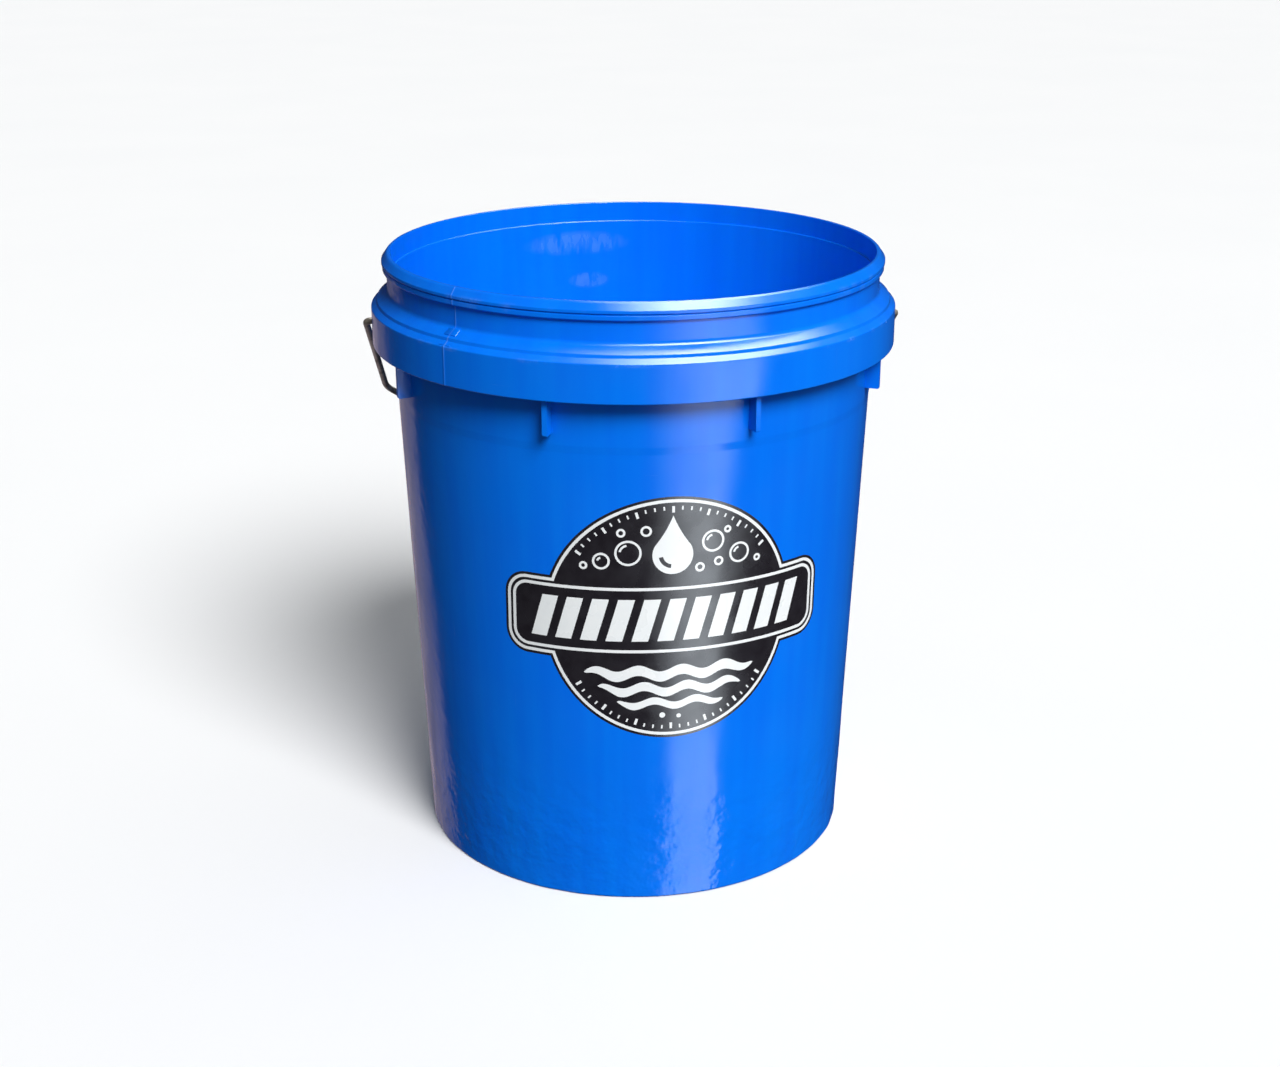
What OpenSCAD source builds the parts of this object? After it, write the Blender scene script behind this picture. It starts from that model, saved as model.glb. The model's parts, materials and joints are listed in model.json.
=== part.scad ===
// Wash bucket: a round tapered pail with a stacking collar under its rim,
// a wire bail hooked through two ears in the collar, and a loose grip on the bail.
// Millimetres. +Z is up, the front is -Y, and the origin is the centre of the foot.
// The bail is drawn hanging behind the pail with its grip resting on the side wall.

/* [Pail] */
// Height from the foot to the top of the rim
pail_h = 365; // [345:1:400]
// Outer diameter of the side wall at the foot
base_d = 261; // [250:0.5:264]
// Outer diameter that the side wall's taper reaches at the neck
wall_top_d = 289.4; // [286:0.2:290]
// Thickness of the side wall
wall_t = 2.4; // [1.8:0.1:3]
// Height at which the upper wall steps outwards
step_z = 281.5; // [262:0.5:286]
// How far the upper wall stands proud of the lower wall
step_t = 0.4; // [0.2:0.1:0.6]

/* [Floor] */
// Height of the foot ring, which is also the height of the recess under the floor
foot_h = 8; // [4:0.5:12]
// Thickness of the foot ring
foot_t = 3; // [2.6:0.1:5]
// Radius on the outer bottom edge of the foot ring
foot_edge_r = 1.2; // [0.6:0.1:1.6]
// Thickness of the floor
floor_t = 2.6; // [2:0.1:4]
// Radius of the inside corner between the floor and the wall
corner_r = 8; // [4:0.5:14]

/* [Rim] */
// Height of the rim above the collar
rim_h = 24; // [22:0.5:30]
// Outer diameter of the plain neck under the lip
neck_d = 292.4; // [291.4:0.2:293.4]
// Outer diameter of the bead that a lid snaps over
bead_d = 298; // [297.4:0.2:302]
// Outer diameter of the lip under the bead
lip_d = 297; // [295:0.2:297]
// Diameter of the seat inside the mouth for a lid's plug
lid_seat_d = 287.6; // [287.2:0.2:288]
// Depth of that seat below the top of the rim
lid_seat_h = 12.2; // [8:0.2:16]

/* [Collar] */
// Outer diameter of the collar's band
collar_d = 312; // [310:0.5:318]
// Height of the band
band_h = 21.8; // [20:0.2:26]
// Thickness of the band
band_t = 2.4; // [2:0.1:3]
// Diameter of the shoulder's outer edge
shoulder_d = 305; // [304:0.5:306]
// Number of ribs round the collar
rib_count = 8; // [4:2:12]
// Thickness of each rib
rib_t = 2.8; // [2:0.1:4]
// Diameter over the ribs below the band
rib_d = 303; // [300:0.5:305]
// How far the ribs reach below the band
rib_drop = 21.2; // [10:0.2:30]

/* [Bail] */
// Diameter of the wire
wire_d = 4; // [3.5:0.1:4.4]
// Gap all round the wire in each ear and in the grip
wire_gap = 0.25; // [0.1:0.05:0.4]
// Distance from the pivot axis to the middle of the grip
bail_reach = 187; // [180:1:210]
// Radius of the two bends where the wire passes through an ear
hook_r = 3.5; // [3:0.1:4]
// How far the hooked end reaches past the pivot axis
hook_len = 8; // [6:0.5:9]
// Angle at which each leg leans inwards from the ear
leg_lean = 2.3; // [0:0.1:4]
// Radius of the bend at each knee
knee_r = 35; // [20:1:45]
// Angle at which the wire leans inwards after the knee
knee_lean = 25; // [15:1:35]
// Length of the straight stretch that carries the grip
grip_run = 100; // [94:1:110]

/* [Grip] */
// Largest diameter of the grip
grip_d = 26; // [22:0.5:30]
// Diameter of the grip between its end collars
grip_mid_d = 23.6; // [20:0.2:24]
// Length of the grip
grip_len = 92; // [80:1:93]
// Length of each end collar on the grip
grip_end = 7; // [4:0.5:12]

/* [Label] */
// Diameter of the label's round badge
badge_d = 148; // [100:1:160]
// Width of the label's banner, measured straight across
banner_w = 180; // [150:1:200]
// Height of the banner
banner_h = 50; // [30:1:70]
// Height of the label's centre
label_z = 181; // [110:1:190]
// Angle of the label's centre round from the front, towards +X
label_turn = 4.9; // [-20:0.1:20]
// Thickness of the label
label_t = 0.25; // [0.15:0.05:0.4]

/* [Hidden] */
$fn = 144;
eps = 0.01;
over = 1;

// Side wall and floor
draft = (wall_top_d - base_d) / 2 / (pail_h - rim_h);
neck_z = pail_h - rim_h;
floor_z = foot_h + floor_t;
foot_inner_r = base_d / 2 - foot_t;

// Rim: the lip, the groove over it, the bead, and the rim's rounded-off top edge
neck_r = neck_d / 2;
bead_r = bead_d / 2;
lip_r = lip_d / 2;
lip_under_r = lip_r - 0.4;
lip_under_z = pail_h - 10;
lip_low_z = pail_h - 9.3;
lip_high_z = pail_h - 7.4;
groove_r = lip_r - 0.6;
groove_z = pail_h - 6.7;
bead_low_z = pail_h - 6;
bead_high_z = pail_h - 4.6;
rim_edge_r = neck_r + 0.1;
rim_edge_z = pail_h - 0.7;
lid_seat_r = lid_seat_d / 2;
lid_seat_z = pail_h - lid_seat_h;
rim_top_r = lid_seat_r + 1.6;

// Collar: the shoulder rises to the neck in a cove, slopes to its edge, then dips into the band
collar_r = collar_d / 2;
shoulder_r = shoulder_d / 2;
shoulder_z = neck_z - 3.1;
cove_top_z = neck_z + 3.1;
cove_mid_r = neck_r + 0.4;
cove_mid_z = neck_z + 1.5;
cove_low_r = neck_r + 1.5;
cove_low_z = neck_z + 0.3;
dip_out = 0.4;
dip_z = neck_z - 4.8;
band_edge_z = neck_z - 6.3;
band_top_z = neck_z - 7.7;
band_low_z = band_top_z - band_h;
band_in_r = collar_r - band_t;
band_edge_r = collar_r - 1.4;
skirt_round = 0.5;
pocket_top_z = neck_z - 4.2;
pocket_bend_r = shoulder_r - 2.2;
pocket_bend_z = neck_z - 6.2;
pocket_side_z = neck_z - 9.2;

// Ribs
rib_r = rib_d / 2;
rib_low_z = band_low_z - rib_drop;
rib_join_z = band_low_z + 1;
rib_start = 180 / rib_count;

// Ears: a boss behind the band at each end of the pivot axis
pivot_z = band_low_z + band_h / 2;
ear_t = 4.7;
ear_face_x = collar_r - ear_t;
ear_boss_r = 8;
boss_fn = 720;
ear_hole_r = wire_d / 2 + wire_gap;

// Bail: a flat bent wire, drawn with its pivot axis on X and its legs along +Y
wire_r = wire_d / 2;
lap = 0.1;
lap_r = wire_r + eps;
bend_gap = 0.3;
hook_in_x = ear_face_x - bend_gap;
hook_out_x = collar_r + bend_gap;
leg_from = [hook_out_x + hook_r * cos(leg_lean), hook_r + hook_r * sin(leg_lean)];
knee_step = arc_step(knee_r, 90 + leg_lean, 90 + knee_lean);
crown_unit = arc_step(1, 90 + knee_lean, 180);
crown_gap = [grip_run / 2, bail_reach] - leg_from - knee_step;
leg_unit = [-sin(leg_lean), cos(leg_lean)];
leg_cross = leg_unit[0] * crown_unit[1] - leg_unit[1] * crown_unit[0];
leg_len = (crown_gap[0] * crown_unit[1] - crown_gap[1] * crown_unit[0]) / leg_cross;
crown_r = (leg_unit[0] * crown_gap[1] - leg_unit[1] * crown_gap[0]) / leg_cross;

// The angle at which the hanging bail's grip comes to rest just clear of the side wall
rest_gap = 0.3;
rest_side = (grip_d / 2 + rest_gap) * norm([1, draft]) + base_d / 2 + draft * pivot_z;
rest_angle = atan(draft) + acos(rest_side / bail_reach / norm([1, draft]));

// Grip
grip_r = grip_d / 2;
grip_mid_r = grip_mid_d / 2;
grip_bore_r = wire_r + wire_gap;
grip_round = 2;

// Label
banner_round = 14;

// Outer radius of the plain taper at height z
function taper_r(z) = base_d / 2 + draft * z;

// Outer radius of the side wall at height z, above and below the step
function wall_r(z) = taper_r(z) + (z > step_z ? step_t : 0);

// Inner radius of the side wall at height z
function bore_r(z) = taper_r(z) - wall_t;

// Where a bend of radius r ends, seen from where it starts, as the wire's heading turns from a to b
function arc_step(r, a, b) = r * [sin(b) - sin(a), cos(a) - cos(b)];

// Points on a circular arc, for a rounded corner of an outline
function arc(centre, r, a, b, steps = 8) =
    [for (i = [0:steps]) centre + r * [cos(a + (b - a) * i / steps), sin(a + (b - a) * i / steps)]];

// Ring that closes the foot, with a rounded outer edge
module foot_ring() {
    edge_r = base_d / 2 - foot_edge_r;
    color("royalblue")
        rotate_extrude()
            polygon(concat(
                [[foot_inner_r, 0]],
                arc([edge_r, foot_edge_r], foot_edge_r, -90, 0),
                [[taper_r(foot_h), foot_h], [foot_inner_r, foot_h]]
            ));
}

// Flat floor, above the recess inside the foot ring
module floor_plate() {
    color("royalblue")
        translate([0, 0, foot_h])
            cylinder(h = floor_t, r1 = taper_r(foot_h), r2 = taper_r(floor_z));
}

// Tapered side wall, with a rounded inside corner at the floor and the step on its outside
module side_wall() {
    corner_x = bore_r(floor_z + corner_r) - corner_r;
    color("royalblue")
        rotate_extrude()
            polygon(concat(
                [[taper_r(floor_z), floor_z], [taper_r(step_z), step_z], [wall_r(step_z + eps), step_z]],
                [[wall_r(neck_z), neck_z], [bore_r(neck_z), neck_z]],
                arc([corner_x, floor_z + corner_r], corner_r, 0, -90)
            ));
}

// Neck, lip and bead above the collar, with the lid's seat inside the mouth
module rim() {
    color("royalblue")
        rotate_extrude()
            polygon([
                [bore_r(neck_z), neck_z], [neck_r, neck_z],
                [neck_r, lip_under_z], [lip_under_r, lip_under_z],
                [lip_r, lip_low_z], [lip_r, lip_high_z], [groove_r, groove_z],
                [bead_r, bead_low_z], [bead_r, bead_high_z],
                [rim_edge_r, rim_edge_z], [rim_top_r, pail_h],
                [lid_seat_r, pail_h], [lid_seat_r, lid_seat_z],
                [bore_r(lid_seat_z), lid_seat_z]
            ]);
}

// Underside of the shoulder, from the band's inner face to the side wall
function pocket_roof() = [
    [band_in_r, pocket_side_z],
    [pocket_bend_r, pocket_bend_z],
    [wall_r(pocket_top_z), pocket_top_z]
];

// Holes for the bail, right across the collar
module ear_holes() {
    translate([0, 0, pivot_z])
        rotate([0, 90, 0])
            cylinder(h = collar_d + 2 * over, r = ear_hole_r, center = true);
}

// Sloping shoulder that stands out from the wall, with the dip that ends in the band's top edge
module collar_shoulder() {
    color("royalblue")
        rotate_extrude()
            polygon(concat(
                [[wall_r(neck_z), neck_z], [neck_r, neck_z], [neck_r, cove_top_z]],
                [[cove_mid_r, cove_mid_z], [cove_low_r, cove_low_z], [shoulder_r, shoulder_z]],
                [[shoulder_r + dip_out, dip_z], [band_edge_r, band_edge_z]],
                [[collar_r, band_top_z], [collar_r, pocket_side_z]],
                pocket_roof()
            ));
}

// Band that hangs from the shoulder, open underneath, with a hole for each end of the bail
module collar_band() {
    color("royalblue")
        difference() {
            rotate_extrude()
                polygon(concat(
                    [[collar_r, pocket_side_z]],
                    arc([collar_r - skirt_round, band_low_z + skirt_round], skirt_round, 0, -90, 4),
                    [[band_in_r, band_low_z], [band_in_r, pocket_side_z]]
                ));
            ear_holes();
        }
}

// Radial ribs that brace the band from the side wall and reach below it
module collar_ribs() {
    color("royalblue")
        intersection() {
            rotate_extrude()
                polygon(concat(
                    [[wall_r(rib_low_z), rib_low_z], [rib_r, rib_low_z]],
                    [[rib_r, rib_join_z], [band_in_r, rib_join_z]],
                    pocket_roof()
                ));
            for (i = [0:rib_count - 1])
                rotate([0, 0, rib_start + i * 360 / rib_count])
                    translate([base_d / 2, -rib_t / 2, rib_low_z - over])
                        cube([collar_r - base_d / 2, rib_t, neck_z - rib_low_z]);
        }
}

// Boss behind the band round one of the bail's holes; side is -1 for left and 1 for right
module bail_ear(side) {
    color("royalblue")
        difference() {
            intersection() {
                translate([side * ear_face_x, 0, pivot_z])
                    rotate([0, side * 90, 0])
                        cylinder(h = collar_r - ear_face_x, r = ear_boss_r);
                cylinder(h = pail_h, r = band_in_r, $fn = boss_fn);
            }
            ear_holes();
        }
}

// Flat outline of the label: a round badge with a straight banner across it
module label_outline() {
    circle(d = badge_d);
    for (side = [-1, 1])
        for (edge = [-1, 1])
            translate([side * (banner_w / 2 - banner_round), edge * (banner_h / 2 - banner_round)])
                circle(r = banner_round);
    square([banner_w - 2 * banner_round, banner_h], center = true);
    square([banner_w, banner_h - 2 * banner_round], center = true);
}

// Thin printed label, wrapped on the front of the side wall
module label() {
    low_z = label_z - badge_d / 2 - over;
    high_z = label_z + badge_d / 2 + over;
    color("white")
        intersection() {
            rotate_extrude()
                polygon([
                    [taper_r(low_z), low_z], [taper_r(low_z) + label_t, low_z],
                    [taper_r(high_z) + label_t, high_z], [taper_r(high_z), high_z]
                ]);
            rotate([0, 0, label_turn])
                translate([0, 0, label_z])
                    rotate([90, 0, 0])
                        linear_extrude(height = base_d)
                            label_outline();
        }
}

// Straight wire from a point on the bail's plane, heading at angle a. It laps over the bends at
// its ends and is a hair thicker than they are, so that the two never share a surface.
module wire_line(from, a, len) {
    translate([from[0], from[1], 0])
        rotate([0, 0, a])
            rotate([0, 90, 0])
                translate([0, 0, -lap])
                    cylinder(h = len + 2 * lap, r = lap_r);
}

// Bend to the left from a point on the bail's plane, as the heading turns from a to b
module wire_bend(from, r, a, b) {
    translate([from[0] - r * sin(a), from[1] + r * cos(a), 0])
        rotate([0, 0, a - 90])
            rotate_extrude(angle = b - a)
                translate([r, 0])
                    circle(r = wire_r);
}

// One half of the bail, from its hooked end to the grip
module bail_half() {
    knee_from = leg_from + leg_len * leg_unit;
    crown_from = knee_from + knee_step;
    wire_line([hook_in_x - hook_r, hook_len], -90, hook_len - hook_r);
    wire_bend([hook_in_x - hook_r, hook_r], hook_r, -90, 0);
    wire_line([hook_in_x, 0], 0, hook_out_x - hook_in_x);
    wire_bend([hook_out_x, 0], hook_r, 0, 90 + leg_lean);
    wire_line(leg_from, 90 + leg_lean, leg_len);
    wire_bend(knee_from, knee_r, 90 + leg_lean, 90 + knee_lean);
    wire_line(crown_from, 90 + knee_lean, 0);
    wire_bend(crown_from, crown_r, 90 + knee_lean, 180);
}

// Places a thing drawn on the bail's plane where the hanging bail rests
module on_bail() {
    translate([0, 0, pivot_z])
        rotate([-rest_angle, 0, 0])
            children();
}

// Wire bail: the straight stretch that carries the grip, and a half on each side of it
module bail_wire() {
    color("silver")
        on_bail() {
            wire_line([-grip_run / 2, bail_reach], 0, grip_run);
            bail_half();
            mirror([1, 0, 0])
                bail_half();
        }
}

// Grip that turns freely on the bail's straight stretch
module bail_grip() {
    half = grip_len / 2;
    waist = half - grip_end;
    waist_slope = 1.5;
    color("dimgray")
        on_bail()
            translate([0, bail_reach, 0])
                rotate([0, 90, 0])
                    rotate_extrude()
                        polygon(concat(
                            [[grip_bore_r, -half]],
                            arc([grip_r - grip_round, -half + grip_round], grip_round, -90, 0),
                            [[grip_r, -waist], [grip_mid_r, -waist + waist_slope]],
                            [[grip_mid_r, waist - waist_slope], [grip_r, waist]],
                            arc([grip_r - grip_round, half - grip_round], grip_round, 0, 90),
                            [[grip_bore_r, half]]
                        ));
}

foot_ring();
floor_plate();  // floor
side_wall();
rim();
collar_shoulder();
collar_band();
collar_ribs();
bail_ear(-1);  // bail_ear_left
bail_ear(1);  // bail_ear_right
label();
bail_wire();
bail_grip();
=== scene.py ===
"""Looks of the wash bucket: a moulded pail with a printed label, a wire bail and a turning grip.

Metres, +Z up, the front of the bucket towards -Y. Lengths given in millimetres are multiplied by MM.
An azimuth goes round from the front (-Y) towards +X.
"""

import json
import math

import bmesh
import bpy
from mathutils import Matrix, Vector, noise


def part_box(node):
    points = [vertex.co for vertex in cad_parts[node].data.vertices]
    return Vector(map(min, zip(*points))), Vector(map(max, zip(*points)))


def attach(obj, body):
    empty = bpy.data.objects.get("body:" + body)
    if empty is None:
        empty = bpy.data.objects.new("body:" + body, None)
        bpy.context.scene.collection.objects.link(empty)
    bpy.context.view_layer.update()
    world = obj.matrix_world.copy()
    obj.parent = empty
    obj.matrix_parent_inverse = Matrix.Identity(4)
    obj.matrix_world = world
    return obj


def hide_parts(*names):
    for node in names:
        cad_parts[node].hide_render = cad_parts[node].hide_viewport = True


MM = 0.001
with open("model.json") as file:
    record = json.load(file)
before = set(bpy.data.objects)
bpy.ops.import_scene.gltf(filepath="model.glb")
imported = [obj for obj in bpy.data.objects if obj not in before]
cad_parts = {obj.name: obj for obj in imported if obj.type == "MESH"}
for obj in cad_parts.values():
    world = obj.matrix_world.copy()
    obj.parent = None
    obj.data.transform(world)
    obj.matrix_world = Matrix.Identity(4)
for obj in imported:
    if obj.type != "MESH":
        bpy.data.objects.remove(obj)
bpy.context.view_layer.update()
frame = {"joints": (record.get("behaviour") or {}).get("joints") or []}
joints = {j["name"]: j for j in frame["joints"]}

# ---------------------------------------------------------------- sizes, mostly from the frame

PAIL_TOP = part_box("rim")[1].z
NECK_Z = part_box("rim")[0].z
BEAD_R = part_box("rim")[1].x
NECK_R = BEAD_R - 2.8 * MM
BAND_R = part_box("collar_band")[1].x
BAND_LOW_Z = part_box("collar_band")[0].z
BAND_JOIN_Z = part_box("collar_band")[1].z
FLOOR_LOW_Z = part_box("floor")[0].z
FLOOR_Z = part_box("floor")[1].z
RIB_LOW_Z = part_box("collar_ribs")[0].z
STEP_T = 0.4 * MM
STEP_Z = 281.5 * MM
TAPER = (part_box("side_wall")[1].x - STEP_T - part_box("floor")[1].x) / (NECK_Z - FLOOR_Z)
BASE_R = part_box("floor")[1].x - TAPER * FLOOR_Z
SHOULDER_R = BAND_R - 3.5 * MM
SHOULDER_Z = NECK_Z - 3.1 * MM
SHOULDER_RISE = 1.3 * MM
WALL_T = 2.4 * MM
PIVOT = Vector(joints["bail_swing"]["pos_m"])
GRIP_AT = Vector(joints["grip_spin"]["pos_m"])
BAIL_DIR = (GRIP_AT - PIVOT).normalized()
BAIL_REACH = (GRIP_AT - PIVOT).length
LABEL_LOW, LABEL_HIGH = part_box("label")

# ---------------------------------------------------------------- the pail's surface

COLUMNS = 288
ROW_HEIGHT = 6.5 * MM
SEAM_AZIMUTHS = (math.radians(-45.5), math.radians(134.5))
SEAM_HALF = 0.35 * MM
SEAM_HEIGHT = 0.22 * MM
# columns beside each parting line, in half widths of the line
SEAM_COLUMNS = (-1.0, -0.45, 0.45, 1.0)
SAME_AZIMUTH = 1e-4
TOUCHING = 1e-6
TINY = 1e-7
# how much of a side a fillet may take
FILLET_SHARE = 0.45
SAG_DEPTH = 0.05 * MM
SAG_SIZE = 70 * MM
RIPPLE_DEPTH = 0.3 * MM
RIPPLE_WIDTH = 15 * MM
RIPPLE_HEIGHT = 19 * MM
RIPPLE_TOP_Z = 110 * MM
RIPPLE_FULL_Z = 33 * MM
# spots of painted reflection, pale patches high on the inside of the back: middle (x, z) and half sizes
PAINTED_REFLECTION_SPOTS = ((-28 * MM, 339 * MM, 38 * MM, 9 * MM), (-20 * MM, 314 * MM, 15 * MM, 6 * MM))
SLIVER = 0.004 * MM


def taper_r(z):
    """Radius of the plain taper at height z."""
    return BASE_R + TAPER * z


def step_wall_r(z):
    """Radius of the side wall at height z, with its step."""
    return taper_r(z) + (STEP_T if z > STEP_Z else 0)


def smooth_step(x, low, high):
    """0 below low, 1 above high, and a smooth rise between them."""
    t = min(max((x - low) / (high - low), 0.0), 1.0)
    return t * t * (3 - 2 * t)


def polar(r, azimuth, z):
    """Point at a radius, azimuth and height."""
    return Vector((r * math.sin(azimuth), -r * math.cos(azimuth), z))


def unevenness(azimuth, z):
    """How far the moulded wall strays from a true cone: a faint sag, and ripples low down."""
    around = polar(BASE_R, azimuth, 0)
    sag = noise.noise(Vector((around.x, around.y, z)) / SAG_SIZE)
    ripple = noise.noise(Vector((around.x / RIPPLE_WIDTH, around.y / RIPPLE_WIDTH, z / RIPPLE_HEIGHT + 7)))
    low_down = 1 - smooth_step(z, RIPPLE_FULL_Z, RIPPLE_TOP_Z)
    return SAG_DEPTH * sag + RIPPLE_DEPTH * low_down * ripple


def wall_point(azimuth, z, proud=0.0):
    """Point on the outside of the side wall, or standing proud of it."""
    return polar(step_wall_r(z) + unevenness(azimuth, z) + proud, azimuth, z)


def rounded(corners, steps=4):
    """Outline through corners (r, z, fillet), with each corner that has a fillet made a curve."""
    out = []
    for i, (x, y, fillet) in enumerate(corners):
        here = Vector((x, y))
        if not fillet or i in (0, len(corners) - 1):
            out.append(here)
            continue
        before = Vector(corners[i - 1][:2]) - here
        after = Vector(corners[i + 1][:2]) - here
        half = before.angle(after) / 2
        reach = min(fillet / math.tan(half), FILLET_SHARE * before.length, FILLET_SHARE * after.length)
        start = here + before.normalized() * reach
        end = here + after.normalized() * reach
        for k in range(steps + 1):
            t = k / steps
            out.append((1 - t) ** 2 * start + 2 * t * (1 - t) * here + t * t * end)
    return out


def divided(outline, longest):
    """The outline with extra points, so that no stretch of it is longer than this."""
    out = [outline[0]]
    for a, b in zip(outline, outline[1:]):
        pieces = max(1, math.ceil((b - a).length / longest))
        out += [a.lerp(b, k / pieces) for k in range(1, pieces + 1)]
    return out


def new_object(name, bm, material, body, turn_out=True):
    """Makes a smooth object from a bmesh, gives it a material and lets it ride on a body. turn_out works out
    anew which way its faces look."""
    if turn_out:
        bmesh.ops.recalc_face_normals(bm, faces=bm.faces)
    mesh = bpy.data.meshes.new(name)
    bm.to_mesh(mesh)
    bm.free()
    for polygon in mesh.polygons:
        polygon.use_smooth = True
    obj = bpy.data.objects.new(name, mesh)
    bpy.context.scene.collection.objects.link(obj)
    mesh.materials.append(material)
    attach(obj, body)
    return obj


def skin(bm, rings):
    """Joins each ring of vertices to the next one with faces."""
    for low, high in zip(rings, rings[1:]):
        for k in range(len(low)):
            m = (k + 1) % len(low)
            bm.faces.new((low[k], low[m], high[m], high[k]))


def fan(bm, ring, tip):
    """Closes a ring of vertices with triangles to a tip."""
    for k in range(len(ring)):
        bm.faces.new((ring[k], ring[(k + 1) % len(ring)], tip))


def sound_faces(bm, corners):
    """Splits faces of more than so many corners into sound triangles, and drops slivers of no width."""
    many = [f for f in bm.faces if len(f.verts) > corners]
    bmesh.ops.triangulate(bm, faces=many, quad_method="BEAUTY", ngon_method="BEAUTY")
    bmesh.ops.dissolve_degenerate(bm, dist=SLIVER, edges=bm.edges)


def apply_modifiers(obj):
    """Replaces the object's mesh by what its modifiers make of it."""
    bpy.context.view_layer.update()
    shape = obj.evaluated_get(bpy.context.evaluated_depsgraph_get())
    mesh = bpy.data.meshes.new_from_object(shape)
    obj.modifiers.clear()
    old, obj.data = obj.data, mesh
    bpy.data.meshes.remove(old)


def weigh_normals(obj):
    """Keeps flat faces flat where they meet small rounded edges."""
    weigh = obj.modifiers.new("normals", "WEIGHTED_NORMAL")
    weigh.weight = 60
    weigh.keep_sharp = True


# ---------------------------------------------------------------- materials


class Nodes:
    """Short names for building the nodes of a material or of the world."""

    def __init__(self, owner):
        owner.use_nodes = True
        self.owner = owner
        self.tree = owner.node_tree
        self.shader = self.tree.nodes.get("Principled BSDF")
        self.coordinates = self.add("ShaderNodeTexCoord").outputs
        self.place = self.coordinates["Object"]

    def add(self, kind, **settings):
        node = self.tree.nodes.new(kind)
        for key, value in settings.items():
            setattr(node, key, value)
        return node

    def feed(self, socket, value):
        """Links another node's output to a socket, or sets its number."""
        if isinstance(value, bpy.types.NodeSocket):
            self.tree.links.new(value, socket)
        else:
            socket.default_value = value

    def math(self, operation, *values, clamp=False):
        node = self.add("ShaderNodeMath", operation=operation, use_clamp=clamp)
        for socket, value in zip(node.inputs, values):
            self.feed(socket, value)
        return node.outputs[0]

    def chain(self, operation, values):
        result = values[0]
        for value in values[1:]:
            result = self.math(operation, result, value)
        return result

    def times(self, *values):
        return self.chain("MULTIPLY", values)

    def most(self, *values):
        return self.chain("MAXIMUM", values)

    def split(self, vector):
        node = self.add("ShaderNodeSeparateXYZ")
        self.feed(node.inputs[0], vector)
        return node.outputs

    def join(self, x, y, z):
        node = self.add("ShaderNodeCombineXYZ")
        for socket, value in zip(node.inputs, (x, y, z)):
            self.feed(socket, value)
        return node.outputs[0]

    def noise(self, scale, detail=2.0, vector=None, roughness=0.5, distortion=0.0):
        node = self.add("ShaderNodeTexNoise")
        self.feed(node.inputs["Vector"], vector or self.place)
        node.inputs["Scale"].default_value = scale
        node.inputs["Detail"].default_value = detail
        node.inputs["Roughness"].default_value = roughness
        node.inputs["Distortion"].default_value = distortion
        return node.outputs["Fac"]

    def ramp(self, value, low, high, to_low=0.0, to_high=1.0, kind="SMOOTHSTEP"):
        node = self.add("ShaderNodeMapRange", interpolation_type=kind)
        for socket, number in zip(node.inputs, (value, low, high, to_low, to_high)):
            self.feed(socket, number)
        return node.outputs[0]

    def mix(self, factor, a, b):
        node = self.add("ShaderNodeMix", data_type="RGBA")
        self.feed(node.inputs["Factor"], factor)
        self.feed(node.inputs[6], a)
        self.feed(node.inputs[7], b)
        return node.outputs[2]

    def blend(self, factor, a, b):
        """mix() for plain numbers."""
        node = self.add("ShaderNodeMix")
        self.feed(node.inputs["Factor"], factor)
        self.feed(node.inputs[2], a)
        self.feed(node.inputs[3], b)
        return node.outputs[0]

    def bump(self, height, distance, strength=1.0, normal=None):
        node = self.add("ShaderNodeBump")
        self.feed(node.inputs["Height"], height)
        node.inputs["Distance"].default_value = distance
        node.inputs["Strength"].default_value = strength
        if normal:
            self.feed(node.inputs["Normal"], normal)
        return node.outputs[0]

    def round_pail(self):
        """(radius, distance round the pail from its front, height) of the shaded point."""
        x, y, z = self.split(self.place)
        r = self.math("SQRT", self.math("ADD", self.times(x, x), self.times(y, y)))
        azimuth = self.math("ARCTAN2", x, self.times(y, -1.0))
        return r, self.times(azimuth, BASE_R), z


def rgba(r, g, b):
    """Opaque colour."""
    return (r, g, b, 1.0)


PAIL_BLUE = rgba(0.0006, 0.176, 0.85)
PAIL_DEEP = rgba(0.0006, 0.15, 0.82)
# pale blue for the scuffs, rubbed edges and parting lines, and for the painted reflection inside the back
PALE_WEAR_AND_REFLECTION_BLUE = rgba(0.09, 0.27, 0.83)


def scuffs(n, r, along, z):
    """Thin scratches in places, mostly upright from stacking and some level from handling."""
    upright = n.noise(1.0, 6.0, n.join(n.times(along, 900.0), r, n.times(z, 22.0)), 0.62)
    level = n.noise(1.0, 6.0, n.join(n.times(along, 24.0), r, n.times(z, 1100.0)), 0.62)
    where = n.ramp(n.noise(16.0, 4.0, distortion=0.4), 0.5, 0.72)
    return n.times(n.most(n.ramp(upright, 0.66, 0.74), n.ramp(level, 0.68, 0.75)), where)


def rubbed_edges(n, r, z):
    """The edges that rub: the bead and lip, the band's two edges, and the foot."""
    rim_edge = n.times(n.ramp(r, BEAD_R - 1.1 * MM, BEAD_R - 0.1 * MM),
                       n.ramp(z, NECK_Z + 10 * MM, NECK_Z + 12 * MM))
    from_middle = n.math("ABSOLUTE", n.math("SUBTRACT", z, (BAND_LOW_Z + BAND_JOIN_Z) / 2))
    band_edge = n.times(n.ramp(r, BAND_R - 0.8 * MM, BAND_R - 0.3 * MM),
                        n.ramp(from_middle, 9.6 * MM, 10.8 * MM))
    foot_edge = n.times(n.ramp(z, 3.0 * MM, 0.4 * MM), n.ramp(r, BASE_R - 2 * MM, BASE_R - MM))
    patchy = n.ramp(n.noise(60.0, 5.0, roughness=0.65), 0.5, 0.72)
    return n.times(n.most(rim_edge, band_edge, foot_edge), patchy, 0.28)


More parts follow.
